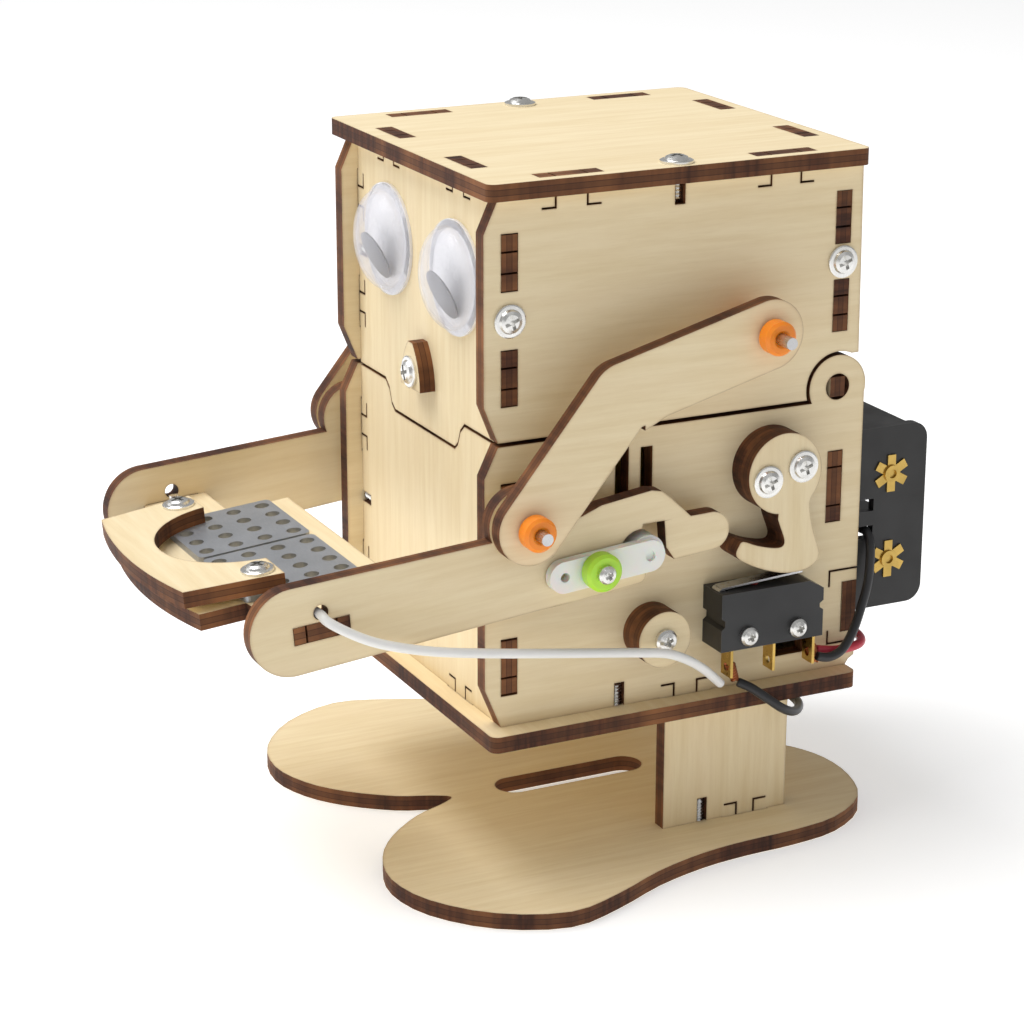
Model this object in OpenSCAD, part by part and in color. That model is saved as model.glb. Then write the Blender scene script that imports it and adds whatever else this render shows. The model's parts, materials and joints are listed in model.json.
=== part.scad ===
/* [Boards] */
// Thickness of every laser-cut plywood board
board_t = 2.8; // [2.6:0.1:2.8]
// Width of the thin relief cuts beside the joint tabs
kerf = 0.35; // [0.2:0.05:0.5]
// Radius of the rounded corners of the top and bottom plates
plate_r = 1.5; // [0.5:0.5:2]

/* [Body and head] */
// Half of the distance across the outer faces of the side panels
half_w = 29.9; // [29.5:0.1:30]
// Half of the depth of the head, front to back
half_d = 34.9; // [34.5:0.1:35]
// Height of the top surface of the whole robot above the floor
total_h = 119.3; // [119:0.1:120]
// Height of the top surface of the bottom plate
floor_z = 28.0; // [27.8:0.1:28]
// Height of the split between body and head
split_z = 76.2; // [76:0.1:76.4]
// Gap that the split leaves between body and head
split_gap = 0.7; // [0.5:0.1:0.8]
// Radius of the googly eyes over their rims
eye_r = 9.6; // [9:0.1:10]

/* [Motion] */
// Height of the drive shaft
shaft_z = 56.8; // [56.5:0.1:57]
// Distance of the drive shaft in front of the body's middle
shaft_y = -8.6; // [-8.8:0.1:-8.4]
// Downward slope of the arms at rest, in degrees
arm_slope = 5; // [4.5:0.5:5]
// Radius of the drive shaft
shaft_r = 2.0; // [1.8:0.1:2]
// Radius of the steel pins at the ends of the bent links
pin_r = 1.0; // [0.9:0.1:1]

/* [Hidden] */
$fn = 48;

t = board_t;
slack = 0.1;
edge_in = 0.01;
top_z = total_h - t;
head_z = split_z + split_gap;
inner_w = half_w - t;
rear_y = 36.3;
front_y = -31.8;
back_y = 29.6;
hinge_y = back_y + t / 2;
hinge_z = 78.6;
ring_r = 5.5;
ring_hole_r = 2.28;
plate_x = 32.0;
base_x = 33.8;
base_y0 = -35.2;
base_y1 = 34.6;
leg_x = 28.3;
leg_mid = 12;
arm_x = 32.9;
crank_x = 36.0;
crank_t = 1.7;
hub_r = 3.2;
sheet_t = 1.2;
link_x = 36.5;
bush_len = 2.9;
bush_r = 2.85;
axle_x = 45.6;
pin_x = 44.6;
P1 = [-21.4, 10.0];
P2 = [-9.6, 0];
crank_end = [-15.6, 0];
tray_q = -0.7;
slot_p = [-61.9, -52.3];
link_top = [12.2, 91.9];
link_low = [shaft_y + P1[0] * cos(arm_slope) - P1[1] * sin(arm_slope),
            shaft_z + P1[0] * sin(arm_slope) + P1[1] * cos(arm_slope)];
link_bend = [-14.8, 84.7];
link_r = 5.9;
link_loose_r = 1.6;
hook_c = [17.9, 66.6];
stop_c = [-4.4, 40.8];
switch_y = 5.9;
switch_l = 19.8;
switch_z = 37.0;
switch_h = 10.2;
switch_t = 6.4;
lever_y = 7.0;
lever_z = 46.9;
lever_tilt = 3.2;
plunger_x = half_w + 3.2;
plunger_y = switch_y + 7.9;
plunger_r = 0.7;
board_y = rear_y - t;
holder_y = rear_y;
holder_z = [37.4, 70.0];
cell_z = [46.0, 61.5];
wire_r = 0.8;

// Half outline of the feet, from the front notch round to the rear notch
foot_half = [
  [2.2, -30.4], [4.7, -36.1], [10.5, -43.2], [17.5, -48.1], [26.3, -50.3], [36.1, -47.9], [45.3, -40.1],
  [50.1, -28.9], [47.4, -18.8], [42.7, -8.6], [39.8, 1.5], [38.7, 10.7], [38.4, 19.8], [36.7, 29.4],
  [30.9, 37.8], [22.1, 41.4], [13.4, 41.6], [6.6, 39], [2.2, 35.1]
];
// Outline of the hook, from the front of its neck down round its tongue and up its back
hook_tail = [
  [16.7, 58.8], [17.2, 57.4], [18.1, 54.9], [17.6, 53.8], [15.7, 53.9], [12.8, 54.7],
  [10.1, 55.8], [9.3, 55.1], [8.8, 53.8], [9.7, 52.6], [13, 50.8], [17.7, 49.2], [21.9, 49],
  [24.3, 50], [25, 51.7], [24.2, 54.3], [23.3, 57.4], [22.8, 60.9], [24, 63.6]
];

// Routes of the wires, hand-laid
route_white = [
  [28.45, -70.2, 54.7], [30.5, -69, 55], [33, -66.6, 55.3], [35.5, -65.8, 55.2],
  [37.4, -65.2, 54.4], [38.4, -62.4, 52.6], [38.8, -58.6, 50.6], [39, -54, 48.9],
  [39, -48, 47.2], [38.8, -41, 45.7], [38.6, -34, 44.4], [38.6, -26, 43.1], [38.8, -18, 41.9],
  [39.2, -11, 40.9], [39.2, -6, 39.9], [38.6, -2, 38], [37.2, 2, 35.2], [35.4, 5.2, 32.4],
  [34.2, 7.2, 30.6]
];
route_black = [
  [34.3, 10.4, 30.4], [35.6, 12.4, 29.4], [36.8, 15, 27.4], [37, 17.6, 25.4],
  [35.8, 20.4, 23.8], [33.6, 23, 23], [30.6, 24.9, 22.8], [26.5, 25.5, 22.9],
  [21.6, 25.8, 23.2], [17.6, 25.9, 24.4], [16, 26, 26.6], [16, 26, 30]
];
route_battery = [
  [34.4, 25.9, 32.5], [34.4, 28.4, 31.9], [34.1, 31.2, 32.7], [33.2, 33.8, 35.2],
  [32.1, 36, 38.8], [31.5, 37.6, 43], [30.9, 38.3, 47], [30.2, 38.6, 49.8],
  [28.6, 38.8, 51.3], [26.9, 38.8, 51.4], [25.3, 38.8, 51.4]
];
route_red = [
  [32.3, 27, 32.8], [32.3, 30.5, 32.1], [32, 33.6, 31.9], [31.2, 36.4, 31.9],
  [29.2, 38.2, 31.9], [26.4, 38.9, 32], [23.6, 38.5, 32.2], [22.2, 37.2, 32.4],
  [22, 35.4, 32.5], [22, 33.8, 32.5]
];

// Coordinate helpers: a flat outline stood up in the Y-Z or X-Z plane
module yz(x0, h) translate([x0, 0, 0]) rotate([90, 0, 90]) linear_extrude(h) children();
module xz(y0, h) translate([0, y0 + h, 0]) rotate([90, 0, 0]) linear_extrude(h) children();
module xy(z0, h) translate([0, 0, z0]) linear_extrude(h) children();
module both_sides() {
  children();
  mirror([1, 0, 0]) children();
}
// The row's origin is on the floor, midway between the legs
module placed() translate([0, -leg_mid, 0]) children();
module box(a, b) translate(a) cube(b - a);
module bar2(a, b) translate(a) square(b - a);
module peg_x(x0, x1, y, z, r) translate([x0, y, z]) rotate([0, 90, 0]) cylinder(r = r, h = x1 - x0);
// Anything that moves with the arms is drawn along the arm and then tilted to its slope
module arm_frame() translate([0, shaft_y, shaft_z]) rotate([arm_slope, 0, 0]) children();

// A joint tab: its body, and the L-shaped relief cuts that make its ends springy
module tab2(p, a, len) translate(p) rotate(a) bar2([-len / 2, -0.01], [len / 2, t]);
module relief2(p, a, len) translate(p) rotate(a) for (s = [-1, 1]) scale_x(s) {
  bar2([len / 2 - 2.6 - kerf, -2.4], [len / 2 - 2.6, t + 1]);
  bar2([len / 2 - 2.6 - kerf, -2.4], [len / 2 - 0.3, -2.4 + kerf]);
}
module scale_x(s) mirror([s < 0 ? 1 : 0, 0]) children();
module tab_set(list) for (q = list) tab2([q[0], q[1]], q[2], q[3]);
module relief_set(list) for (q = list) relief2([q[0], q[1]], q[2], q[3]);
// A slit that grips a screw, running in from an edge
module grip_slit(p, a, depth = 3.6) translate(p) rotate(a) bar2([-0.95, -depth], [0.95, 1]);

// The straight part of a strap of half-width r, from a to b; its edges cross the round ends
module bar_between(a, b, r)
  translate(a) rotate(atan2(b[1] - a[1], b[0] - a[0]))
    bar2([0, -r + edge_in], [norm(b - a), r - edge_in]);

// A smooth closed curve through hand-placed points
function curve_pt(a, b, c, d, u) = 0.5 * (2 * b + (c - a) * u + (2 * a - 5 * b + 4 * c - d) * u * u
  + (3 * b - a - 3 * c + d) * u * u * u);
function closed_curve(pts, n) = let (m = len(pts)) [
  for (i = [0 : m - 1]) for (k = [0 : n - 1])
    curve_pt(pts[(i + m - 1) % m], pts[i], pts[(i + 1) % m], pts[(i + 2) % m], k / n)
];
function open_curve(pts, n) = let (m = len(pts)) concat([
  for (i = [0 : m - 2]) for (k = [0 : n - 1])
    curve_pt(pts[max(i - 1, 0)], pts[i], pts[i + 1], pts[min(i + 2, m - 1)], k / n)
], [pts[m - 1]]);
function flip(pts) = [for (i = [len(pts) - 1 : -1 : 0]) [-pts[i][0], pts[i][1]]];

// A round wire swept along a route
function unit(v) = v / norm(v);
function tangent(p, i) = unit(p[min(i + 1, len(p) - 1)] - p[max(i - 1, 0)]);
function side_of(d) = abs(d[2]) < 0.9 ? unit(cross(d, [0, 0, 1])) : unit(cross(d, [0, 1, 0]));
function carry(v, d) = unit(v - d * (v * d));
function frames(p, i, v) = i >= len(p) ? [] :
  let (w = carry(v, tangent(p, i))) concat([w], frames(p, i + 1, w));
module wire(p, r, sides = 8) {
  n = len(p);
  f = frames(p, 0, side_of(tangent(p, 0)));
  ring = [for (i = [0 : n - 1]) let (d = tangent(p, i), a = f[i], b = cross(d, a))
    for (k = [0 : sides - 1]) p[i] + r * (cos(360 * k / sides) * a + sin(360 * k / sides) * b)];
  walls = [for (i = [0 : n - 2]) for (k = [0 : sides - 1]) let (m = (k + 1) % sides)
    [i * sides + k, i * sides + m, (i + 1) * sides + m, (i + 1) * sides + k]];
  ends = [[for (k = [sides - 1 : -1 : 0]) k], [for (k = [0 : sides - 1]) (n - 1) * sides + k]];
  polyhedron(ring, concat([for (w = walls) [w[3], w[2], w[1], w[0]]],
    [for (e = ends) [for (k = [sides - 1 : -1 : 0]) e[k]]]));
}

// A cross-headed screw, its head up from z = 0 and its thread below; wide heads have a washer
module screw(head_r, len, r) {
  head = head_r > 2.2
    ? [[0, 0], [head_r, 0], [head_r, 0.4], [head_r - 0.2, 0.5], [head_r * 0.74, 0.55],
      [head_r * 0.66, 0.95], [head_r * 0.45, 1.2], [0, 1.3]]
    : [[0, 0], [head_r, 0], [head_r, 0.7], [head_r * 0.8, 1.1], [head_r * 0.4, 1.35], [0, 1.4]];
  difference() {
    rotate_extrude() polygon(head);
    for (a = [20, 110]) rotate(a) box([-head_r * 0.46, -0.3, 0.5], [head_r * 0.46, 0.3, 3]);
  }
  rotate_extrude() polygon(concat([[0, 0.1]],
    [for (i = [0 : floor(len / 0.6) - 1]) each [[r - 0.25, -i * 0.6], [r, -i * 0.6 - 0.3]]],
    [[r - 0.3, -len], [0, -len - 0.6]]));
}
module screw_x(x, y, z, head_r = 2.75, len = 7, r = 1)
  translate([x, y, z]) rotate([0, 90, 0]) screw(head_r, len, r);

// ---- Feet and legs ----
module foot_outline() {
  difference() {
    polygon(closed_curve(concat([[0, -27.2]], foot_half, [[0, 32.9]], flip(foot_half)), 3));
    bar2([-3.4, -14.9], [3.4, 7.1]);
    for (y = [-14.9, 7.1]) translate([0, y]) circle(3.4);
    for (s = [-1, 1]) scale_x(s) bar2([leg_x - t - slack, 11.5], [leg_x + slack, 20.7]);
  }
}
module feet_sheet() color([0.93, 0.85, 0.68]) difference() {
  xy(0, t) foot_outline();
  both_sides() translate([leg_x - t / 2, 7.5, -1]) cylinder(r = 1.15, h = t + 2);
  both_sides() translate([leg_x - t / 2, 7.5, -1]) cylinder(r = 2.9, h = 2.7);
}
module leg_outline() {
  tabs = [[16.1, t, 180, 9], [16.1, floor_z - t, 0, 9]];
  difference() {
    union() {
      bar2([leg_mid - 12.15, t], [leg_mid + 12.15, floor_z - t]);
      tab_set(tabs);
    }
    relief_set(tabs);
    grip_slit([7.5, t], 180, 4.4);
  }
}
module leg_left() color([0.93, 0.85, 0.68]) yz(leg_x - t, t) leg_outline();
module leg_right() color([0.93, 0.85, 0.68]) yz(-leg_x, t) leg_outline();

// ---- Plates ----
module plate2(x, y0, y1) {
  bar2([-x + plate_r, y0], [x - plate_r, y1]);
  bar2([-x, y0 + plate_r], [x, y1 - plate_r]);
  for (s = [-1, 1]) for (y = [y0 + plate_r, y1 - plate_r])
    translate([s * (x - plate_r), y]) circle(plate_r);
}
module cross_slots(mid, long) for (s = [-1, 1]) {
  bar2([s * mid - long / 2, front_y - slack], [s * mid + long / 2, front_y + t + slack]);
  bar2([s * mid - long / 2, back_y - slack], [s * mid + long / 2, back_y + t + slack]);
}
module bottom_plate() color([0.90, 0.80, 0.60]) difference() {
  xy(floor_z - t, t) difference() {
    plate2(base_x, base_y0, base_y1);
    cross_slots(13.9, 10.2);
    for (s = [-1, 1]) scale_x(s) {
      bar2([inner_w - slack, -2.3], [half_w + slack, 7.9]);
      bar2([leg_x - t - slack, 11.5], [leg_x + slack, 20.7]);
    }
  }
  both_sides() translate([half_w - t / 2, -9.9, 0]) cylinder(r = 1.15, h = 60);
  translate([16, 26, 0]) cylinder(r = 2.2, h = 60);
}
module top_plate() color([0.95, 0.88, 0.72]) difference() {
  xy(top_z, t) difference() {
    plate2(plate_x, -35, 34.7);
    cross_slots(13.9, 10.2);
    for (s = [-1, 1]) for (m = [-19.5, 19.7])
      bar2([s * (half_w - t / 2) - t / 2 - slack, m - 5.7], [s * (half_w - t / 2) + t / 2 + slack, m + 5.7]);
  }
  both_sides() translate([half_w - t / 2, 0, 100]) cylinder(r = 1.15, h = 40);
}

// ---- Body shell ----
body_tabs = [[2.8, floor_z, 180, 10]];
module body_side_outline(fittings) difference() {
  union() {
    polygon([[-31.9, floor_z], [base_y1, floor_z], [35.2, 28.9], [rear_y, 29.6],
      [rear_y, split_z + 1], [27, split_z], [-32.4, split_z], [-34.8, 71.2], [-34.8, 35]]);
    translate([hinge_y, hinge_z]) circle(ring_r);
    tab_set(body_tabs);
  }
  relief_set(body_tabs);
  translate([hinge_y, hinge_z]) circle(ring_hole_r);
  bar2([front_y - slack, 33.4], [front_y + t + slack, 43.4]);
  bar2([front_y - slack, 60], [front_y + t + slack, 70]);
  bar2([back_y - slack, 54.6], [back_y + t + slack, 67.4]);
  bar2([board_y - 0.2, 34.2], [rear_y + 1, 43.4]);
  bar2([board_y - 2.9, 45.5], [rear_y + 1, 45.5 + kerf]);
  bar2([board_y - 2.9, 42.8], [board_y - 2.9 + kerf, 45.7]);
  bar2([board_y - 2.9, 32.2], [rear_y + 1, 32.2 + kerf]);
  bar2([board_y - 2.9, 32.4], [board_y - 2.9 + kerf, 34.8]);
  bar2([-11.2, 62.5], [-8.7, 73.4]);
  bar2([-6.5, 62.5], [-4.3, 72.9]);
  translate([shaft_y, shaft_z]) circle(shaft_r + 0.08);
  translate([front_y + t / 2, 51.7]) circle(1.1);
  if (fittings) {
    for (p = concat([stop_c], hook_holes)) translate(p) circle(1.02);
    for (p = switch_holes) translate(p) circle(0.9);
    bar2([20.3, 31.8], [25.9, 36.5]);
  }
  grip_slit([-9.9, floor_z], 180, 4.2);
}
hook_holes = [[14.5, 65.7], [21.2, 67.5]];
switch_holes = [[switch_y + 5.15, switch_z + 2.3], [switch_y + 14.65, switch_z + 2.3]];
module body_side_left() color([0.88, 0.79, 0.60]) yz(inner_w, t) body_side_outline(true);
module body_side_right() color([0.88, 0.79, 0.60]) yz(-half_w, t) body_side_outline(false);

// The mouth: a lip of the head reaches down into a notch in the body's front board
module mouth_edge(z, d) polygon([[-40, z + d], [-16.2, z + d], [-14.6, z - 1.4 + d],
  [-13.6, z - 3.8 + d], [-12.2, z - 4.8 + d], [12.2, z - 4.8 + d], [13.4, z - 3.8 + d],
  [14.4, z - 1.4 + d], [16, z + d], [40, z + d], [40, 200], [-40, 200]]);
front_tabs = [[-inner_w, 38.4, 90, 9.2], [-inner_w, 65, 90, 9.2], [inner_w, 38.4, -90, 9.2],
  [inner_w, 65, -90, 9.2], [-13.9, floor_z, 180, 9.6], [13.9, floor_z, 180, 9.6]];
module body_front() color([0.93, 0.85, 0.66]) xz(front_y, t) difference() {
  union() {
    difference() {
      bar2([-inner_w, floor_z], [inner_w, split_z]);
      mouth_edge(split_z - 0.3, 0);
    }
    tab_set(front_tabs);
  }
  relief_set(front_tabs);
  grip_slit([-inner_w, 51.7], 90);
  grip_slit([inner_w, 51.7], -90);
}
back_tabs = [[-inner_w, 61, 90, 12.4], [inner_w, 61, -90, 12.4],
  [-13.9, floor_z, 180, 9.6], [13.9, floor_z, 180, 9.6]];
module body_back() color([0.88, 0.78, 0.58]) xz(back_y, t) difference() {
  union() {
    bar2([-inner_w, floor_z], [inner_w, 74.4]);
    tab_set(back_tabs);
  }
  relief_set(back_tabs);
}
// Board behind the body that carries the battery holder; its ends snap into the side panels
board_tabs = [[-inner_w, 38.8, 90, 9], [inner_w, 38.8, -90, 9]];
module back_board() color([0.88, 0.78, 0.58]) xz(board_y, t) difference() {
  union() {
    bar2([-inner_w, 28.6], [inner_w, 72]);
    tab_set(board_tabs);
  }
  translate([22, 32.5]) circle(1.2);
}

// ---- Drive ----
module gearbox() color([0.90, 0.80, 0.20]) difference() {
  union() {
    box([-9, shaft_y - 10, shaft_z - 11], [9, shaft_y + 26, shaft_z + 11]);
    box([9, shaft_y - 8, shaft_z - 9], [inner_w, shaft_y - 3.4, shaft_z + 9]);
    box([9, shaft_y + 16, shaft_z - 9], [inner_w, shaft_y + 20, shaft_z + 9]);
  }
  peg_x(-40, 40, shaft_y, shaft_z, shaft_r + 0.08);
}
module motor_can() color("silver") {
  translate([0, shaft_y + 26, shaft_z]) rotate([-90, 0, 0]) cylinder(r = 10, h = 9.5);
}
module drive_shaft() color("silver") peg_x(-crank_x, crank_x, shaft_y, shaft_z, shaft_r);

// ---- Battery holder, two cells lying side to side ----
module holder_profile() {
  y0 = holder_y;
  y1 = 50.2;
  bar2([y0, holder_z[0]], [y1 - 3, holder_z[1]]);
  bar2([y0, holder_z[0] + 3], [y1, holder_z[1] - 3]);
  for (z = [holder_z[0] + 3, holder_z[1] - 3]) translate([y1 - 3, z]) circle(3);
}
module battery_holder() color([0.13, 0.13, 0.14]) difference() {
  union() {
    both_sides() yz(27.4, 1.6) holder_profile();
    box([-27.4, holder_y, holder_z[0]], [27.4, holder_y + 1.2, holder_z[1]]);
    for (z = [holder_z[0], holder_z[1] - 1.3, 53.05])
      box([-27.4, holder_y + 1.2, z], [27.4, z == 53.05 ? 43 : 46.6, z + 1.3]);
    for (x = [-17, 0, 17]) {
      box([x - 5, holder_y + 0.6, holder_z[1] - 0.2], [x + 5, 41.4, 71.4]);
      box([x - 5, holder_y + 0.6, 36], [x + 5, 41.4, holder_z[0] + 0.2]);
    }
  }
  for (z = [50.3, 55.1]) box([26, holder_y - 1, z], [31, 39.8, z + 2.2]);
  for (s = [-1, 1]) for (z = cell_z) peg_x(s * 28.2 - 2, s * 28.2 + 2, 43, z, 0.9);
}
module petal() {
  difference() {
    cylinder(r = 1.5, h = 0.7);
    translate([0, 0, 0.3]) cylinder(r = 0.8, h = 1);
  }
  for (a = [0 : 60 : 300]) rotate(a) translate([1.1, -0.8, 0]) cube([2.2, 1.6, 0.3]);
}
module battery_contacts() color([0.80, 0.68, 0.30]) for (s = [-1, 1]) for (z = cell_z)
  scale([s, 1, 1]) {
    translate([29, 43, z]) rotate([0, 90, 0]) petal();
    peg_x(26.4, 29.2, 43, z, 0.85);
    peg_x(26.6, 27.4, 43, z, 3.4);
  }
module contact_springs() color("silver") for (s = [-1, 1]) translate([s * 26.6, 43, cell_z[s < 0 ? 0 : 1]])
  rotate([0, -90 * s, 0]) wire([for (i = [0 : 36]) let (a = i * 30, r = 3.1 - i * 0.045)
    [r * cos(a), r * sin(a), 0.35 + i * 0.12]], 0.3, 6);

// ---- Limit switch ----
module switch_case() color([0.12, 0.12, 0.13]) {
  difference() {
    yz(half_w, switch_t) polygon([[switch_y, switch_z], [switch_y + switch_l, switch_z],
      [switch_y + switch_l, switch_z + 4.7], [switch_y + switch_l - 0.7, switch_z + 5.2],
      [switch_y + switch_l - 0.7, switch_z + 5.9], [switch_y + switch_l, switch_z + 6.4],
      [switch_y + switch_l, switch_z + 8.6], [switch_y + 17, switch_z + switch_h],
      [switch_y, switch_z + switch_h], [switch_y, switch_z + 6], [switch_y + 0.7, switch_z + 5.5],
      [switch_y + 0.7, switch_z + 4.4], [switch_y, switch_z + 3.9]]);
    for (p = switch_holes) peg_x(half_w - 1, half_w + switch_t + 1, p[0], p[1], 1.05);
    translate([plunger_x, plunger_y, switch_z + switch_h - 3]) cylinder(r = plunger_r + 0.05, h = 5);
    box([plunger_x - 1.55, lever_y - 0.8, lever_z - 0.95], [plunger_x + 1.55, lever_y + 1, 50]);
  }
  peg_x(plunger_x - 2, plunger_x + 2, lever_y, lever_z, 0.22);
}
module switch_terminals() color([0.80, 0.70, 0.40]) for (y = [9, 17.2, 25])
  difference() {
    box([half_w + 1.6, y - 0.25, switch_z - 5.6], [half_w + 4.8, y + 0.25, switch_z]);
    translate([half_w + 3.2, y - 2, switch_z - 4]) rotate([-90, 0, 0]) cylinder(r = 0.7, h = 4);
  }
module switch_screws() color("silver") for (p = switch_holes)
  screw_x(half_w + switch_t, p[0], p[1], 1.65, 8.4, 0.85);
module switch_lever() color([0.82, 0.82, 0.84]) translate([0, lever_y, lever_z]) difference() {
  union() {
    peg_x(plunger_x - 1.25, plunger_x + 1.25, 0, 0, 0.65);
    rotate([lever_tilt, 0, 0]) box([plunger_x - 1.25, 0, 0.45], [plunger_x + 1.25, 15.6, 0.8]);
  }
  peg_x(half_w, half_w + 6, 0, 0, 0.27);
}
module switch_plunger() color([0.85, 0.12, 0.10])
  translate([plunger_x, plunger_y, switch_z + switch_h - 2.2]) cylinder(r = plunger_r, h = 2.7);

// ---- Hook and round stop, each of two stacked layers ----
module hook_outline() difference() {
  union() {
    translate(hook_c) circle(7);
    polygon(concat([[17.5, 66]], open_curve(hook_tail, 3)));
  }
  for (p = hook_holes) translate(p) circle(1.05);
}
module hook_inner() color([0.85, 0.75, 0.55]) yz(half_w, t) hook_outline();
module hook_outer() color([0.90, 0.81, 0.62]) yz(half_w + t, t) hook_outline();
module stop_inner() color([0.85, 0.75, 0.55]) yz(half_w, t) stop_outline();
module stop_outer() color([0.90, 0.81, 0.62]) yz(half_w + t, t) stop_outline();
module stop_outline() difference() {
  translate(stop_c) circle(4.9);
  translate(stop_c) circle(1.05);
}
module body_screws() color([0.80, 0.81, 0.83]) {
  for (p = hook_holes) screw_x(half_w + 2 * t, p[0], p[1], 2.75, 8);
  screw_x(half_w + 2 * t, stop_c[0], stop_c[1], 1.95, 8);
  both_sides() {
    screw_x(half_w, front_y + t / 2, 51.7, 2.75, 6);
    translate([half_w - t / 2, -9.9, floor_z - t]) rotate([180, 0, 0]) screw(2.75, 6.6, 1);
    translate([leg_x - t / 2, 7.5, 1.66]) rotate([180, 0, 0]) screw(2.75, 5, 1);
  }
}

// ---- Wires ----
module loop_x(x, y, z, tilt) translate([x, y, z]) rotate([0, tilt, 0])
  rotate_extrude() translate([0.85, 0]) circle(0.32, $fn = 16);
module wire_wraps() color([0.62, 0.36, 0.22]) {
  for (k = [0 : 3]) loop_x(half_w + 3.2 + (k % 2) * 0.5, 9 + k * 0.28 - 0.2, switch_z - 4.6 - k * 0.62, 22 - k * 14);
  for (k = [0 : 3]) loop_x(half_w + 3.2 - (k % 2) * 0.4, 25.2 + k * 0.3, switch_z - 3.6 - k * 0.62, -20 + k * 14);
}
module wire_black() color([0.12, 0.12, 0.13]) wire(open_curve(route_black, 2), wire_r);
module wire_battery() color([0.12, 0.12, 0.13]) wire(open_curve(route_battery, 2), wire_r);
module wire_red() color([0.80, 0.15, 0.18]) wire(open_curve(route_red, 2), wire_r);
module wire_white() color([0.95, 0.94, 0.93]) wire(open_curve(route_white, 3), wire_r);

// ---- Head ----
side_tabs = [[-19.5, top_z, 0, 11.2], [19.7, top_z, 0, 11.2]];
module head_side_outline() difference() {
  union() {
    polygon([[-32.4, head_z], [half_d, head_z], [half_d, 84.4], [half_d - 0.4, top_z],
      [-32.4, top_z], [-half_d, 111], [-half_d, 83.1]]);
    tab_set(side_tabs);
  }
  relief_set(side_tabs);
  translate([hinge_y, hinge_z]) circle(ring_r + 0.65);
  bar2([hinge_y, head_z - 1], [half_d + 1, hinge_z + 5.6]);
  bar2([front_y - slack, 82.7], [front_y + t + slack, 92.1]);
  bar2([front_y - slack, 101.5], [front_y + t + slack, 110.9]);
  bar2([back_y - slack, 88.2], [back_y + t + slack, 97.2]);
  bar2([back_y - slack, 103.2], [back_y + t + slack, 112.2]);
  translate([front_y + t / 2, 96.8]) circle(1.1);
  translate([back_y + t / 2, 100.2]) circle(1.1);
  translate(link_top) circle(pin_r);
  grip_slit([0, top_z], 0, 3.8);
}
module head_side_left() color([0.89, 0.80, 0.61]) yz(inner_w, t) head_side_outline();
module head_side_right() color([0.89, 0.80, 0.61]) yz(-half_w, t) head_side_outline();
face_tabs = [[-inner_w, 87.4, 90, 9], [-inner_w, 106.2, 90, 9], [inner_w, 87.4, -90, 9],
  [inner_w, 106.2, -90, 9], [-13.9, top_z, 0, 9.8], [13.9, top_z, 0, 9.8]];
module face_panel() color([0.94, 0.86, 0.67]) xz(front_y, t) difference() {
  union() {
    intersection() {
      bar2([-inner_w, 60], [inner_w, top_z]);
      mouth_edge(split_z - 0.3, 0.5);
    }
    tab_set(face_tabs);
  }
  relief_set(face_tabs);
  grip_slit([-inner_w, 96.8], 90);
  grip_slit([inner_w, 96.8], -90);
  translate([0.6, 81.8]) circle(1);
}
hback_tabs = [[-inner_w, 92.7, 90, 8.8], [-inner_w, 107.7, 90, 8.8], [inner_w, 92.7, -90, 8.8],
  [inner_w, 107.7, -90, 8.8], [-13.9, top_z, 0, 9.8], [13.9, top_z, 0, 9.8]];
module head_back() color([0.89, 0.80, 0.61]) xz(back_y, t) difference() {
  union() {
    bar2([-inner_w, 86], [inner_w, top_z]);
    bar2([-inner_w + 0.4, head_z + 0.1], [inner_w - 0.4, 86.1]);
    bar2([-half_w, hinge_z - 1.7], [half_w, hinge_z + 1.7]);
    tab_set(hback_tabs);
  }
  relief_set(hback_tabs);
  grip_slit([-inner_w, 100.2], 90);
  grip_slit([inner_w, 100.2], -90);
}
module nose() color([0.92, 0.83, 0.64]) xz(front_y - t, t) difference() {
  intersection() {
    translate([0.6 - 8.1, 79]) circle(12);
    translate([0.6 + 8.1, 79]) circle(12);
    bar2([-10, 79], [10, 86.9]);
  }
  translate([0.6, 81.8]) circle(1.05);
}
eyes = [[-13.8, 101.3], [13.2, 100.4]];
module at_eye(i) translate([eyes[i][0], front_y, eyes[i][1]]) rotate([90, 0, 0]) children();
module eye_rims() color([0.93, 0.93, 0.95]) for (i = [0, 1]) at_eye(i) cylinder(r = eye_r, h = 0.5);
module eye_domes() color([0.90, 0.92, 0.95, 0.4]) for (i = [0, 1]) at_eye(i)
  rotate_extrude() polygon(concat([[eye_r - 0.1, 0.5], [eye_r - 0.1, 0.9], [8.7, 1.1]],
    [for (a = [0 : 10 : 90]) [8.6 * cos(a * 0.98), 1.2 + 4.1 * sin(a)]],
    [[0, 5.3], [0, 4.95]],
    [for (a = [90 : -10 : 0]) [8.1 * cos(a * 0.98), 1.1 + 3.85 * sin(a)]], [[8.1, 0.5]]));
module pupil(i) color([0.45, 0.46, 0.48]) at_eye(i) translate([0, -2.6, 2.58]) rotate([24, 0, 0])
  translate([0, 0, -0.15]) cylinder(r = 4.4, h = 0.3);
module pupil_right() pupil(0);
module pupil_left() pupil(1);
module head_axle() color("silver") peg_x(-axle_x, axle_x, link_top[0], link_top[1], pin_r);
module bush_x(x, y, z, r, h, bore) translate([x, y, z]) rotate([0, 90, 0])
  rotate_extrude() polygon([[bore, 0], [r - 0.3, 0], [r, 0.3], [r, h - 0.5], [r - 0.5, h],
    [bore + 0.5, h], [bore, h - 0.4]]);
module head_bushes() color([1.0, 0.50, 0.08]) both_sides() {
  bush_x(link_x + t + 0.35, link_top[0], link_top[1], bush_r, bush_len, pin_r);
  bush_x(half_w, link_top[0], link_top[1], bush_r, link_x - half_w - 0.35, pin_r);
}
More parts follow.
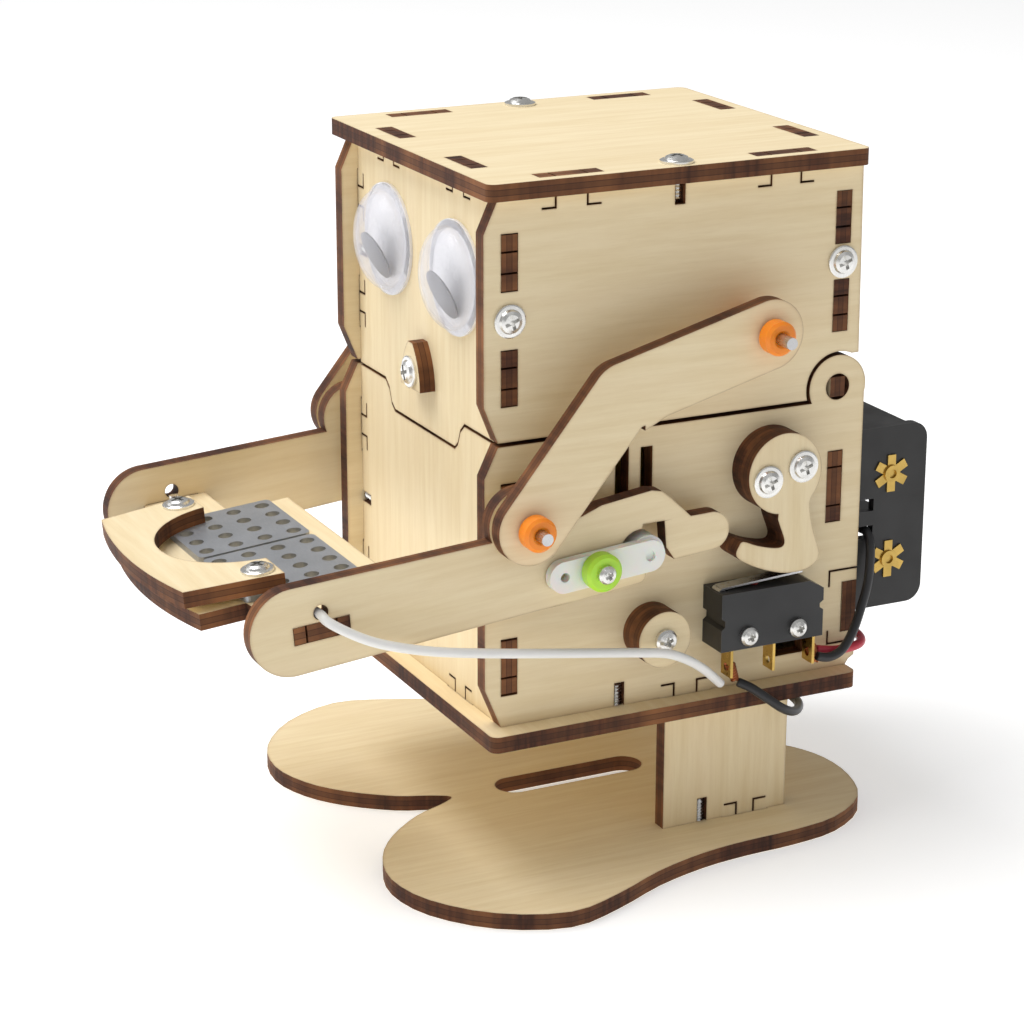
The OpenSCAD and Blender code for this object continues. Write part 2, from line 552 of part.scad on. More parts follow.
module head_screws() color([0.80, 0.81, 0.83]) {
  both_sides() {
    screw_x(half_w, front_y + t / 2, 96.8, 2.75, 6);
    screw_x(half_w, back_y + t / 2, 100.2, 2.75, 6);
    translate([half_w - t / 2, 0, total_h]) screw(2.75, 6, 1);
  }
  translate([0.6, front_y - t, 81.8]) rotate([90, 0, 0]) screw(2.75, 5, 1);
}

// ---- Arms and tray, drawn along the arm ----
module arm_outline() difference() {
  union() {
    translate([-61.8, 1.45]) circle(7.25);
    polygon([[-62, -5.8], [-19.6, -5.3], [-13.4, -5.4], [-1.4, -5.1], [-1.4, -2.4], [0, 5],
      [9, 4.2], [5.7, 8], [3.9, 9.8], [2, 10.35], [-7.2, 9.9], [-10.7, 8.9], [-16, 7.6],
      [-27.3, 8.1], [-62, 8.7]]);
    translate([-1.4, -3.75]) circle(1.35);
    translate(P1) circle(link_r);
    translate([12.6, 0.8]) circle(3.3);
    polygon([[4, -2.5], [12.6, -2.5], [12.6, 4.1], [4, 4.6]]);
    translate([1.2, 8]) circle(2.3);
  }
  difference() {
    translate([-0.7, 0.2]) circle(4.05);
    bar2([-9, -9], [0, -2.4]);
  }
  polygon([[-0.7, 0], [0.3, -2.4], [0.3, -6], [4.2, -6], [5.46, -2.6], [2.63, 2.48]]);
  bar2([slot_p[0], tray_q - slack], [slot_p[1], tray_q + t + slack]);
  translate([-57, 3.7]) circle(1.25);
  circle(hub_r + 0.1);
  translate(P1) circle(pin_r);
  translate(P2) circle(0.95);
}
module arm_left() color([0.91, 0.82, 0.64]) arm_frame() yz(arm_x, t) arm_outline();
module arm_right() color([0.91, 0.82, 0.64]) arm_frame() yz(-arm_x - t, t) arm_outline();
module tray_front(x, p0, bulge) intersection() {
  bar2([-x, p0 - bulge], [x, -40]);
  translate([0, p0 - bulge + 90]) circle(90, $fn = 200);
}
module tray_base() color([0.88, 0.78, 0.58]) arm_frame() difference() {
  xy(tray_q, t) union() {
    tray_front(21, -72.2, 2.2);
    polygon([[-21, -64], [21, -64], [arm_x, -62.4], [arm_x, -51], [22.6, -51], [21, -49.4],
      [21, -43.3], [-21, -43.3], [-21, -49.4], [-22.6, -51], [-arm_x, -51], [-arm_x, -62.4]]);
    bar2([-arm_x - t, slot_p[0] + slack], [arm_x + t, slot_p[1] - slack]);
  }
  for (s = [-1, 1]) translate([s * 18.6, -60.6, -5]) cylinder(r = 1.05, h = 20);
  both_sides() for (p = [-59.7, -54.5])
    box([arm_x + 0.5, p - kerf / 2, -5], [arm_x + 4, p + kerf / 2, 5]);
}
module tray_top() color([0.95, 0.88, 0.70]) arm_frame() difference() {
  xy(tray_q + t + sheet_t, t) difference() {
    union() {
      tray_front(20.2, -74, 2.2);
      polygon([[-20.2, -73.9], [20.2, -73.9], [22.2, -57.6], [22.2, -40], [-22.2, -40], [-22.2, -57.6]]);
    }
    bar2([-30, -57.4], [30, -30]);
    translate([-0.4, -55.9]) circle(14.6);
  }
  for (s = [-1, 1]) translate([s * 18.6, -60.6, -5]) cylinder(r = 1.05, h = 20);
}
module contact_plate(x0) xy(tray_q + t, sheet_t) translate([x0 + 9.9, -54.2]) difference() {
  union() {
    bar2([-9.9, -8.9], [9.9, 8.9]);
    bar2([-8.9, -9.9], [8.9, 9.9]);
    for (a = [-1, 1]) for (b = [-1, 1]) translate([8.9 * a, 8.9 * b]) circle(1);
  }
  for (i = [0 : 3]) for (j = [0 : 3]) translate([-7.35 + 4.9 * i, -7.8 + 5.2 * j]) circle(1.25, $fn = 24);
}
module contact_plates() color([0.62, 0.65, 0.68]) arm_frame() difference() {
  union() {
    contact_plate(-19.2);
    contact_plate(1.4);
  }
  for (s = [-1, 1]) translate([s * 18.6, -60.6, -5]) cylinder(r = 1.05, h = 20);
}
module tray_screws() color([0.80, 0.81, 0.83]) arm_frame() {
  for (s = [-1, 1]) translate([s * 18.6, -60.6, tray_q + 2 * t + sheet_t])
    screw(2.75, 7.2, 1);
  translate([-23.3, -59.6, tray_q + t + 0.13]) rotate([0, -8, 0]) cylinder(r = 0.85, h = 4);
  translate([24, -61.6, tray_q + t]) {
    difference() {
      union() {
        cylinder(r = 2.1, h = 0.6);
        box([0, -0.9, 0], [3.2, 0.9, 0.5]);
      }
      translate([0, 0, -1]) cylinder(r = 1, h = 3);
    }
    peg_x(2, 4.4, 0, 1.15, 1.05);
  }
}
module crank_shape() difference() {
  union() {
    for (p = [crank_end, [0, 0]]) translate(p) circle(2.7);
    bar_between(crank_end, [0, 0], 2.7);
  }
  translate(P2) circle(0.95);
  translate(crank_end) circle(0.8);
}
module crank_left() color([0.93, 0.93, 0.90]) arm_frame() difference() {
  union() {
    yz(crank_x, crank_t) crank_shape();
    peg_x(half_w + 0.4, crank_x + 0.5, 0, 0, hub_r);
  }
  peg_x(0, crank_x, 0, 0, shaft_r);
  peg_x(crank_x + crank_t - 0.6, crank_x + crank_t + 1, 0, 0, 0.9);
}
module crank_right() mirror([1, 0, 0]) crank_left();
module crank_bushes() color([0.60, 0.92, 0.20]) arm_frame() both_sides()
  bush_x(crank_x + crank_t, P2[0], P2[1], 3.2, 2.6, 0.95);
module crank_screws() color([0.80, 0.81, 0.83]) arm_frame() both_sides()
  screw_x(crank_x + crank_t + 2.6, P2[0], P2[1], 1.55, 7.2, 0.93);
module link_pins() color("silver") arm_frame() both_sides() {
  peg_x(arm_x - 0.6, pin_x, P1[0], P1[1], pin_r);
  peg_x(arm_x - 1.2, arm_x, P1[0], P1[1], 1.9);
}
module link_pin_bushes() color([1.0, 0.50, 0.08]) arm_frame() both_sides() {
  bush_x(link_x + t + 0.35, P1[0], P1[1], bush_r, bush_len, pin_r);
}

// ---- Bent links ----
module link_outline() difference() {
  union() {
    for (p = [link_low, link_bend, link_top]) translate(p) circle(link_r);
    bar_between(link_low, link_bend, link_r);
    bar_between(link_bend, link_top, link_r);
    polygon([[-10.8, 78.8], [-4.6, 81.8], [-11, 84]]);
  }
  translate(link_low) circle(pin_r + 0.06);
  translate(link_top) circle(link_loose_r);
}
module link_left() color([0.91, 0.82, 0.64]) yz(link_x, t) link_outline();
module link_right() mirror([1, 0, 0]) link_left();

placed() feet_sheet();
placed() leg_left();
placed() leg_right();
placed() bottom_plate();
placed() body_side_left();
placed() body_side_right();
placed() body_front();
placed() body_back();
placed() back_board();
placed() gearbox();
placed() motor_can();
placed() battery_holder();
placed() battery_contacts();
placed() contact_springs();
placed() switch_case();
placed() switch_terminals();
placed() switch_screws();
placed() switch_lever();
placed() switch_plunger();
placed() hook_inner();
placed() hook_outer();
placed() stop_inner();
placed() stop_outer();
placed() body_screws();
placed() wire_wraps();
placed() wire_black();
placed() wire_battery();
placed() wire_red();
placed() top_plate();
placed() head_side_left();
placed() head_side_right();
placed() face_panel();
placed() head_back();
placed() nose();
placed() eye_rims();
placed() eye_domes();
placed() pupil_left();
placed() pupil_right();
placed() head_axle();
placed() head_bushes();
placed() head_screws();
placed() arm_left();
placed() arm_right();
placed() tray_base();
placed() tray_top();
placed() contact_plates();
placed() tray_screws();
placed() crank_left();
placed() crank_right();
placed() crank_bushes();
placed() crank_screws();
placed() drive_shaft();
placed() link_pins();
placed() link_pin_bushes();
placed() wire_white();
placed() link_left();
placed() link_right();
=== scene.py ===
"""A laser-cut plywood desk robot on a white table top.

The CAD model is the fixed frame. This script gives every piece its material and builds
the wires, the bare strands and the battery springs that the CAD model only stands in for.
"""
import json
import math

import bpy
from mathutils import Matrix, Vector


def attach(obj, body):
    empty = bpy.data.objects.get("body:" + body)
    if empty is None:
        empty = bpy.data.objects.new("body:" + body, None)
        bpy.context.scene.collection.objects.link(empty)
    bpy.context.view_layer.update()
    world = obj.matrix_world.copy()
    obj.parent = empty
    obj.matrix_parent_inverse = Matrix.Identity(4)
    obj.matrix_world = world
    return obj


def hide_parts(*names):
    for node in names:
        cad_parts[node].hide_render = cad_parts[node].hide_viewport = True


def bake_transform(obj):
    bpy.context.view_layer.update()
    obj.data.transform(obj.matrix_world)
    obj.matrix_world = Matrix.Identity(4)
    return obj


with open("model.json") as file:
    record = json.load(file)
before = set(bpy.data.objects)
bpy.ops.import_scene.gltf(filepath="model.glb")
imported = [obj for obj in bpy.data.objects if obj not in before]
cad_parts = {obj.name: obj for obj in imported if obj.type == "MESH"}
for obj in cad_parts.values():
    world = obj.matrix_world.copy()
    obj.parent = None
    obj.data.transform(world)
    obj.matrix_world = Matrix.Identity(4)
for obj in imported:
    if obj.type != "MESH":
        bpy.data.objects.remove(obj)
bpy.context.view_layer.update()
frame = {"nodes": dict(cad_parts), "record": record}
NODES = frame["nodes"]
SLOT_OF = {s["node"]: s["material_slot"] for s in frame["record"]["subparts"]}
MM = 0.001


# ---------------------------------------------------------------- camera and light
CAMERA_AT = Vector((429.16, -236.20, 211.17)) * MM
AZIMUTH, ELEVATION, ROLL = (math.radians(a) for a in (64.05, 18.21, 0.06))
LENS = 102.06


def make_camera():
    right = Vector((math.cos(AZIMUTH), math.sin(AZIMUTH), 0))
    back = Vector((math.sin(AZIMUTH) * math.cos(ELEVATION),
                   -math.cos(AZIMUTH) * math.cos(ELEVATION), math.sin(ELEVATION)))
    up = back.cross(right)
    turn = Matrix((right, up, back)).transposed() @ Matrix.Rotation(ROLL, 3, "Z")
    camera = bpy.data.objects.new("camera", bpy.data.cameras.new("camera"))
    camera.data.lens = LENS
    camera.data.clip_start = 0.01
    camera.matrix_world = Matrix.Translation(CAMERA_AT) @ turn.to_4x4()
    bpy.context.scene.collection.objects.link(camera)
    bpy.context.scene.camera = camera


def make_light(name, at, aim, size, power):
    lamp = bpy.data.lights.new(name, "AREA")
    lamp.shape = "DISK"
    lamp.size = size
    lamp.energy = power
    holder = bpy.data.objects.new(name, lamp)
    holder.location = at
    holder.rotation_euler = (Vector(aim) - Vector(at)).to_track_quat("-Z", "Y").to_euler()
    bpy.context.scene.collection.objects.link(holder)


def make_studio():
    world = bpy.data.worlds.new("studio")
    world.use_nodes = True
    sky = world.node_tree.nodes["Background"]
    sky.inputs["Color"].default_value = (1.0, 1.0, 1.0, 1)
    sky.inputs["Strength"].default_value = 0.4
    bpy.context.scene.world = world
    bpy.context.scene.view_settings.view_transform = "Standard"
    middle = (0, 0, 0.06)
    make_light("key", (-0.25, -0.45, 1.05), middle, 0.9, 11.5)
    make_light("front", (-0.6, -1.0, 0.35), middle, 0.9, 1.4)
    make_light("side", (1.1, 0.3, 0.5), middle, 0.8, 0.3)


# ---------------------------------------------------------------- material helpers
def srgb(r, g, b, a=1.0):
    def one(c):
        c /= 255
        return c / 12.92 if c <= 0.04045 else ((c + 0.055) / 1.055) ** 2.4
    return (one(r), one(g), one(b), a)


def add(tree, kind, inputs=None, **settings):
    made = tree.nodes.new("ShaderNode" + kind)
    for key, value in settings.items():
        setattr(made, key, value)
    for key, value in (inputs or {}).items():
        if isinstance(value, bpy.types.NodeSocket):
            tree.links.new(value, made.inputs[key])
        else:
            made.inputs[key].default_value = value
    return made


def calc(tree, what, a, b=0.0, clamp=False):
    return add(tree, "Math", {0: a, 1: b}, operation=what, use_clamp=clamp).outputs[0]


def vector(tree, what, a, b):
    made = add(tree, "VectorMath", {0: a, 1: b}, operation=what)
    return made.outputs["Value" if what == "DOT_PRODUCT" else "Vector"]


def mix(tree, factor, a, b, how="MIX"):
    return add(tree, "Mix", {0: factor, 6: a, 7: b}, data_type="RGBA", blend_type=how).outputs[2]


def noise(tree, at, scale, detail=2.0, rough=0.5):
    return add(tree, "TexNoise", {"Vector": at, "Scale": scale, "Detail": detail,
                                  "Roughness": rough}).outputs[0]


def remap(tree, value, low, high, to_low=0.0, to_high=1.0):
    return add(tree, "MapRange", {0: value, 1: low, 2: high, 3: to_low, 4: to_high}).outputs[0]


def bump(tree, height, depth, strength=1.0):
    return add(tree, "Bump", {"Height": height, "Distance": depth,
                              "Strength": strength}).outputs[0]


def new_material(name, **shader):
    material = bpy.data.materials.new(name)
    material.use_nodes = True
    bsdf = material.node_tree.nodes["Principled BSDF"]
    for key, value in shader.items():
        bsdf.inputs[key.replace("_", " ")].default_value = value
    return material, material.node_tree, bsdf.inputs


def near_edges(tree, radius, reach):
    """1 along the sharp edges of a piece, falling to 0 inside its faces."""
    soft = add(tree, "Bevel", {"Radius": radius}, samples=6).outputs[0]
    true = add(tree, "NewGeometry").outputs["Normal"]
    flat = vector(tree, "DOT_PRODUCT", soft, true)
    return remap(tree, flat, 1.0 - reach, 1.0, 1.0, 0.0)


# ---------------------------------------------------------------- plywood
BOARD = 2.8 * MM
TILT = math.radians(5)
ALONG_ARM = Vector((0, math.cos(TILT), math.sin(TILT)))
ACROSS_ARM = Vector((0, -math.sin(TILT), math.cos(TILT)))
X, Y, Z = Vector((1, 0, 0)), Vector((0, 1, 0)), Vector((0, 0, 1))
FACES = {"ply_x": X, "ply_y": Y, "ply_z": Z, "ply_tray": ACROSS_ARM}
# Grain runs along Y on boards that face X and along X on the rest, except on these
GRAIN = {"arm_left": ALONG_ARM, "arm_right": ALONG_ARM, "feet_sheet": Y, "top_plate": Y,
         "leg_left": Z, "leg_right": Z, "hook_outer": Z, "face_panel": Z, "body_front": Z}
FACE_LIGHT = srgb(238, 221, 184)
FACE_DARK = srgb(229, 209, 168)
FACE_PINK = srgb(233, 212, 175)
SCORCH = srgb(104, 66, 34)
TAN = srgb(186, 148, 104)
CUT_DARK = srgb(46, 25, 17)
CUT_MID = srgb(96, 55, 33)
CUT_LIGHT = srgb(150, 98, 58)


def plywood(node, number):
    """One board: pale veneer on its two faces, burnt plies on every cut edge."""
    normal = FACES[SLOT_OF[node]]
    grain = GRAIN.get(node, X if normal.dot(X) < 0.5 else Y)
    low = min(v.co.dot(normal) for v in NODES[node].data.vertices)
    material, tree, shader = new_material("ply_" + node)
    place = add(tree, "TexCoord").outputs
    here = vector(tree, "ADD", place["Object"], (0.37 * number, 0.23 * number, 0.11 * number))
    # Stretched along the grain, so that every noise in it runs in streaks
    across = normal.cross(grain)
    along = vector(tree, "DOT_PRODUCT", here, grain[:])
    wide = vector(tree, "DOT_PRODUCT", here, across[:])
    deep = vector(tree, "DOT_PRODUCT", here, normal[:])
    veneer = add(tree, "CombineXYZ", {0: along, 1: calc(tree, "MULTIPLY", wide, 14.0),
                                      2: calc(tree, "MULTIPLY", deep, 14.0)}).outputs[0]
    patches = noise(tree, veneer, 9.0, 3.0, 0.55)
    streaks = noise(tree, veneer, 45.0, 4.0, 0.6)
    fine = noise(tree, veneer, 260.0, 3.0, 0.7)
    cloud = noise(tree, here, 22.0, 3.0, 0.5)

    tone = remap(tree, streaks, 0.36, 0.66)
    face = mix(tree, tone, FACE_LIGHT, FACE_DARK)
    face = mix(tree, remap(tree, patches, 0.42, 0.72, 0.0, 0.4), face, FACE_PINK)
    face = mix(tree, remap(tree, fine, 0.5, 0.78, 0.0, 0.16), face, srgb(210, 186, 146))
    face = mix(tree, remap(tree, cloud, 0.5, 0.75, 0.0, 0.12), face, srgb(216, 192, 152))
    ragged = calc(tree, "MULTIPLY", near_edges(tree, 0.55 * MM, 0.30),
                  remap(tree, noise(tree, here, 260.0, 3.0), 0.25, 0.75, 0.25, 1.0))
    halo = calc(tree, "MULTIPLY", near_edges(tree, 1.5 * MM, 0.5),
                remap(tree, noise(tree, here, 120.0, 3.0), 0.3, 0.7, 0.1, 0.6))
    face = mix(tree, halo, face, TAN)
    face = mix(tree, calc(tree, "MULTIPLY", ragged, 0.75), face, SCORCH)

    # Three plies on the cut edges, with thin glue lines and the laser's striations
    height = calc(tree, "SUBTRACT", vector(tree, "DOT_PRODUCT", place["Object"], normal[:]),
                  low + BOARD / 2)
    off = calc(tree, "ABSOLUTE", calc(tree, "DIVIDE", height, BOARD / 2))
    core = remap(tree, off, 0.36, 0.30)
    glue = calc(tree, "SUBTRACT", 1.0,
                remap(tree, calc(tree, "ABSOLUTE", calc(tree, "SUBTRACT", off, 0.34)), 0.02, 0.07),
                clamp=True)
    round_edge = add(tree, "CombineXYZ", {
        0: along, 1: wide, 2: calc(tree, "MULTIPLY", deep, 0.12)}).outputs[0]
    stripes = noise(tree, round_edge, 900.0, 3.0, 0.6)
    burns = noise(tree, round_edge, 70.0, 3.0, 0.6)
    cut = mix(tree, remap(tree, stripes, 0.3, 0.7), CUT_MID, CUT_DARK)
    cut = mix(tree, remap(tree, burns, 0.42, 0.68, 0.0, 0.8), cut, CUT_LIGHT)
    cut = mix(tree, calc(tree, "MULTIPLY", core, 0.35), cut, CUT_DARK)
    cut = mix(tree, calc(tree, "MULTIPLY", glue, 0.7), cut, CUT_DARK)

    facing = calc(tree, "ABSOLUTE", vector(tree, "DOT_PRODUCT", place["Normal"], normal[:]))
    is_face = calc(tree, "GREATER_THAN", facing, 0.7)
    color = mix(tree, is_face, cut, face)
    tree.links.new(color, shader["Base Color"])
    rough = remap(tree, calc(tree, "ADD", calc(tree, "MULTIPLY", is_face, -0.2), fine), 0.0, 1.0,
                  0.55, 0.85)
    tree.links.new(rough, shader["Roughness"])
    shader["Specular IOR Level"].default_value = 0.3
    relief = calc(tree, "ADD", calc(tree, "MULTIPLY", fine, 0.6),
                  calc(tree, "MULTIPLY", calc(tree, "SUBTRACT", stripes, calc(
                      tree, "MULTIPLY", is_face, stripes)), 1.4))
    tree.links.new(bump(tree, relief, 0.05 * MM, 0.6), shader["Normal"])
    return material


# ---------------------------------------------------------------- metal and plastic
def metal(name, color, rough, worn, streak=(1, 1, 1), metallic=1.0):
    """Plated or bare metal with fine handling marks."""
    material, tree, shader = new_material(name, Metallic=metallic)
    place = add(tree, "TexCoord").outputs["Object"]
    fine = noise(tree, vector(tree, "MULTIPLY", place, streak), 900.0, 4.0, 0.65)
    broad = noise(tree, place, 160.0, 3.0, 0.6)
    dull = tuple(c * worn for c in color[:3]) + (1,)
    tone = mix(tree, remap(tree, broad, 0.35, 0.7), color, dull)
    tone = mix(tree, calc(tree, "MULTIPLY", near_edges(tree, 0.12 * MM, 0.4), 0.25), tone,
               tuple(min(1.0, c * 1.3) for c in color[:3]) + (1,))
    tree.links.new(tone, shader["Base Color"])
    tree.links.new(remap(tree, fine, 0.3, 0.7, rough * 0.75, rough * 1.3), shader["Roughness"])
    tree.links.new(bump(tree, fine, 0.006 * MM, 0.5), shader["Normal"])
    return material


def plastic(name, color, rough, grain=0.01, shade=0.85, scale=700.0, **shader_values):
    """Moulded plastic with a fine skin and slightly paler, rubbed edges."""
    material, tree, shader = new_material(name, **shader_values)
    place = add(tree, "TexCoord").outputs["Object"]
    skin = noise(tree, place, scale, 3.0, 0.6)
    broad = noise(tree, place, 120.0, 3.0, 0.5)
    dark = tuple(c * shade for c in color[:3]) + (1,)
    pale = tuple(c + (1 - c) * 0.10 for c in color[:3]) + (1,)
    tone = mix(tree, remap(tree, broad, 0.3, 0.7), color, dark)
    tone = mix(tree, calc(tree, "MULTIPLY", near_edges(tree, 0.15 * MM, 0.35), 0.5), tone, pale)
    tree.links.new(tone, shader["Base Color"])
    tree.links.new(remap(tree, broad, 0.3, 0.7, rough * 0.85, rough * 1.2), shader["Roughness"])
    tree.links.new(bump(tree, skin, grain * MM, 0.6), shader["Normal"])
    return material


def clear_plastic(name):
    """A thin vacuum-formed dome: see-through in the middle, with a painted reflection that turns
    it white where it turns away from the view, over faint smudges of its own.
    """
    material, tree, shader = new_material(name, Base_Color=srgb(232, 232, 240), IOR=1.46)
    place = add(tree, "TexCoord").outputs["Object"]
    smear = noise(tree, place, 140.0, 3.0, 0.6)
    # Painted reflection: the shell turns white and opaque where it turns away from the view,
    # standing in for what a clear shell reflects there; the smear noise adds faint smudges of its
    # own.
    painted_reflection_rim = add(tree, "LayerWeight", {"Blend": 0.35}).outputs["Facing"]
    smudges_and_painted_reflection = calc(tree, "ADD", calc(tree, "MULTIPLY", painted_reflection_rim, 0.34),
                 remap(tree, smear, 0.3, 0.7, 0.05, 0.1), clamp=True)
    tree.links.new(smudges_and_painted_reflection, shader["Alpha"])
    tree.links.new(remap(tree, smear, 0.4, 0.8, 0.03, 0.12), shader["Roughness"])
    return material


SLOTS = {
    "gearbox_plastic": lambda n: plastic(n, srgb(214, 180, 60), 0.4),
    "steel": lambda n: metal(n, srgb(205, 205, 206), 0.30, 0.82, (1, 6, 6)),
    "black_plastic": lambda n: plastic(n, srgb(34, 33, 33), 0.46, 0.02, 0.85),
    "switch_plastic": lambda n: plastic(n, srgb(36, 36, 37), 0.42, 0.02, 0.85),
    "brass": lambda n: metal(n, srgb(206, 172, 96), 0.30, 0.7),
    "plated_screw": lambda n: metal(n, srgb(232, 231, 228), 0.26, 0.86),
    "red_plastic": lambda n: plastic(n, srgb(150, 30, 24), 0.3),
    "copper": lambda n: metal(n, srgb(188, 112, 74), 0.32, 0.6),
    "black_insulation": lambda n: plastic(n, srgb(36, 36, 38), 0.38, 0.006),
    "red_insulation": lambda n: plastic(n, srgb(200, 50, 70), 0.38, 0.006),
    "white_insulation": lambda n: plastic(n, srgb(240, 239, 236), 0.32, 0.006, 0.93),
    "eye_white": lambda n: plastic(n, srgb(238, 238, 242), 0.25, 0.004, 0.96),
    "eye_clear": clear_plastic,
    "pupil": lambda n: plastic(n, srgb(92, 93, 98), 0.35, 0.006, 0.85),
    "orange_plastic": lambda n: plastic(n, srgb(255, 146, 30), 0.38, 0.01, 0.88,
                                        Subsurface_Weight=0.25, Subsurface_Scale=0.8 * MM),
    "green_plastic": lambda n: plastic(n, srgb(186, 238, 66), 0.36, 0.01, 0.9,
                                       Subsurface_Weight=0.35, Subsurface_Scale=1.0 * MM),
    "contact_plate": lambda n: metal(n, srgb(168, 171, 176), 0.42, 0.88, (1, 5, 1),
                                     metallic=0.7),
    "crank_plastic": lambda n: plastic(n, srgb(236, 236, 230), 0.36, 0.008, 0.96,
                                       Subsurface_Weight=0.6, Subsurface_Scale=1.6 * MM),
}


def paint():
    made = {}
    for number, (node, piece) in enumerate(sorted(NODES.items())):
        slot = SLOT_OF[node]
        if slot in FACES:
            material = plywood(node, number)
        else:
            if slot not in made:
                made[slot] = SLOTS[slot](slot)
            material = made[slot]
        for holder in piece.material_slots:
            holder.material = material
    return made


# ---------------------------------------------------------------- wires
WIRE = 0.8 * MM
ORIGIN = Vector((0, -12, 0)) * MM
ROUTE_WHITE = [
    (28.45, -70.2, 54.7), (30.5, -69, 55), (33, -66.6, 55.3), (35.5, -65.8, 55.2),
    (37.4, -65.2, 54.4), (38.4, -62.4, 52.6), (38.8, -58.6, 50.6), (39, -54, 48.9),
    (39, -48, 47.2), (38.8, -41, 45.7), (38.6, -34, 44.4), (38.6, -26, 43.1), (38.8, -18, 41.9),
    (39.2, -11, 40.9), (39.2, -6, 39.9), (38.6, -2, 38), (37.2, 2, 35.2), (35.4, 5.2, 32.4),
    (34.2, 7.2, 30.6)]
ROUTE_BLACK = [
    (34.3, 10.4, 30.4), (35.6, 12.4, 29.4), (36.8, 15, 27.4), (37, 17.6, 25.4),
    (35.8, 20.4, 23.8), (33.6, 23, 23), (30.6, 24.9, 22.8), (26.5, 25.5, 22.9),
    (21.6, 25.8, 23.2), (17.6, 25.9, 24.4), (16, 26, 26.6), (16, 26, 30)]
ROUTE_BATTERY = [
    (34.4, 25.9, 32.5), (34.4, 28.4, 31.9), (34.1, 31.2, 32.7), (33.2, 33.8, 35.2),
    (32.1, 36, 38.8), (31.5, 37.6, 43), (30.9, 38.3, 47), (30.2, 38.6, 49.8),
    (28.6, 38.8, 51.3), (26.9, 38.8, 51.4), (25.3, 38.8, 51.4)]
ROUTE_RED = [
    (32.3, 27, 32.8), (32.3, 30.5, 32.1), (32, 33.6, 31.9), (31.2, 36.4, 31.9),
    (29.2, 38.2, 31.9), (26.4, 38.9, 32), (23.6, 38.5, 32.2), (22.2, 37.2, 32.4),
    (22, 35.4, 32.5), (22, 33.8, 32.5)]


def smooth(points):
    """A Catmull-Rom curve through the points, as the CAD model's own routes are."""
    steps = 5
    line = [Vector(p) * MM + ORIGIN for p in points]
    last = len(line) - 1
    out = []
    for i in range(last):
        a, b = line[max(i - 1, 0)], line[i]
        c, d = line[i + 1], line[min(i + 2, last)]
        for k in range(steps):
            u = k / steps
            out.append(0.5 * (2 * b + (c - a) * u + (2 * a - 5 * b + 4 * c - d) * u * u
                              + (3 * b - a - 3 * c + d) * u ** 3))
    return out + [line[last]]


def tube(name, line, radius, sides=16):
    """A mesh tube along a line, its ends rounded over."""
    steps = [(line[min(i + 1, len(line) - 1)] - line[max(i - 1, 0)]).normalized()
             for i in range(len(line))]
    rings = [(p, d, radius) for p, d in zip(line, steps)]
    tip = radius * 0.25
    rings[0] = (line[0] + steps[0] * tip, steps[0], radius)
    rings[-1] = (line[-1] - steps[-1] * tip, steps[-1], radius)
    rings = ([(line[0], steps[0], radius * 0.8)] + rings
             + [(line[-1], steps[-1], radius * 0.8)])
    side = rings[0][1].orthogonal().normalized()
    points, faces = [], []
    for at, way, r in rings:
        side = (side - way * side.dot(way)).normalized()
        other = way.cross(side)
        for k in range(sides):
            turn = 2 * math.pi * k / sides
            points.append(at + r * (math.cos(turn) * side + math.sin(turn) * other))
    for i in range(len(rings) - 1):
        for k in range(sides):
            m = (k + 1) % sides
            faces.append((i * sides + k, i * sides + m, (i + 1) * sides + m, (i + 1) * sides + k))
    faces.append(tuple(reversed(range(sides))))
    faces.append(tuple(range(len(points) - sides, len(points))))
    mesh = bpy.data.meshes.new(name)
    mesh.from_pydata(points, [], faces)
    mesh.polygons.foreach_set("use_smooth", [len(f) == 4 for f in faces])
    piece = bpy.data.objects.new(name, mesh)
    bpy.context.scene.collection.objects.link(piece)
    return piece


def wire(name, route, node, slot, materials, body="base"):
    line = smooth(route)
    piece = tube(name, line, WIRE)
    piece.data.materials.append(materials[slot])
    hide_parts(node)
    if body:
        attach(piece, body)
    return piece


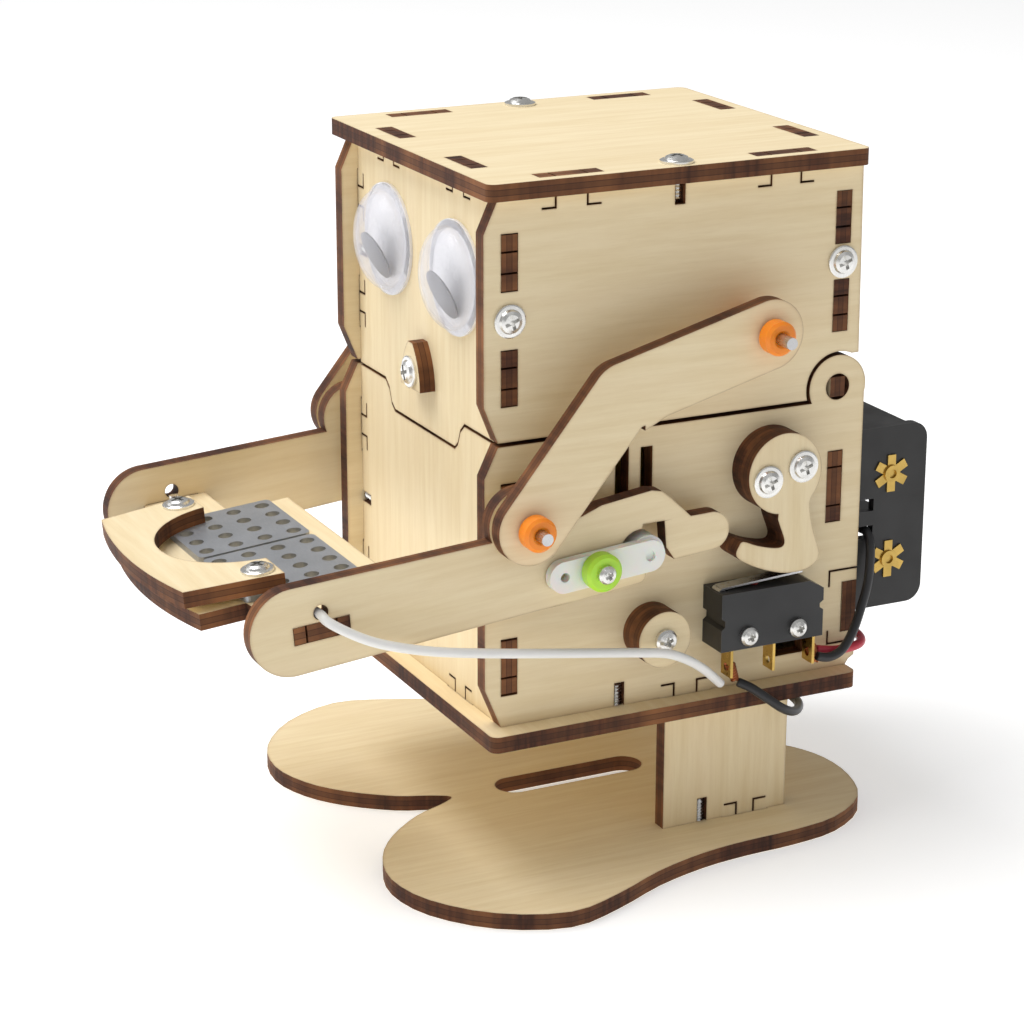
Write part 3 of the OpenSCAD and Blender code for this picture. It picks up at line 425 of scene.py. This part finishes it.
def make_wires(materials):
    white = wire("tray_wire", ROUTE_WHITE, "wire_white", "white_insulation", materials, None)
    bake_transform(white)
    wire("switch_wire", ROUTE_BLACK, "wire_black", "black_insulation", materials)
    wire("battery_wire", ROUTE_BATTERY, "wire_battery", "black_insulation", materials)
    # Short and held at both ends, so it isn't a free cord
    wire("motor_wire", ROUTE_RED, "wire_red", "red_insulation", materials)


def coil(center, axis, turns, radii, length, phase=0.0):
    """Points along a helix that starts at center and runs along axis; lengths are in mm."""
    axis = Vector(axis).normalized()
    side = axis.orthogonal().normalized()
    other = axis.cross(side)
    count = int(turns * 20)
    line = []
    for i in range(count + 1):
        u = i / count
        turn = 2 * math.pi * turns * u + phase
        r = (radii[0] + (radii[1] - radii[0]) * u) * MM
        line.append(Vector(center) * MM + ORIGIN + axis * length * u * MM
                    + r * (math.cos(turn) * side + math.sin(turn) * other))
    return line


def dress(piece, node, slot, materials):
    piece.data.materials.append(materials[slot])
    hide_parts(node)
    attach(piece, "base")


def make_strands(materials):
    """Bare strands twisted round the two outer switch terminals."""
    for name, center, axis in (("front", (33.4, 9.3, 33.6), (0.15, 0.3, -1)),
                               ("rear", (33.0, 25.5, 34.2), (0.1, 0.25, -1))):
        for strand in range(2):
            line = coil(center, axis, 3.6, (0.75, 0.5), 3.2, strand * math.pi)
            dress(tube(f"strand_{name}_{strand}", line, 0.27 * MM, 10), "wire_wraps",
                  "copper", materials)


def make_springs(materials):
    for name, side, height in (("low", -1, 46.0), ("high", 1, 61.5)):
        line = coil((26.3 * side, 43, height), (-side, 0, 0), 4.0, (3.2, 1.6), 4.4)
        dress(tube("spring_" + name, line, 0.3 * MM, 10), "contact_springs", "steel", materials)


# ---------------------------------------------------------------- floor
def make_floor():
    mesh = bpy.data.meshes.new("floor")
    mesh.from_pydata([(-6, -6, 0), (6, -6, 0), (6, 6, 0), (-6, 6, 0)], [], [(0, 1, 2, 3)])
    floor = bpy.data.objects.new("floor", mesh)
    floor.location.z = -0.1 * MM
    bpy.context.scene.collection.objects.link(floor)
    material, _, shader = new_material("table_top", Roughness=0.7, Emission_Strength=0.4)
    shader["Base Color"].default_value = srgb(238, 238, 238)
    shader["Emission Color"].default_value = (1, 1, 1, 1)
    mesh.materials.append(material)


make_camera()
make_studio()
materials = paint()
make_wires(materials)
make_strands(materials)
make_springs(materials)
make_floor()
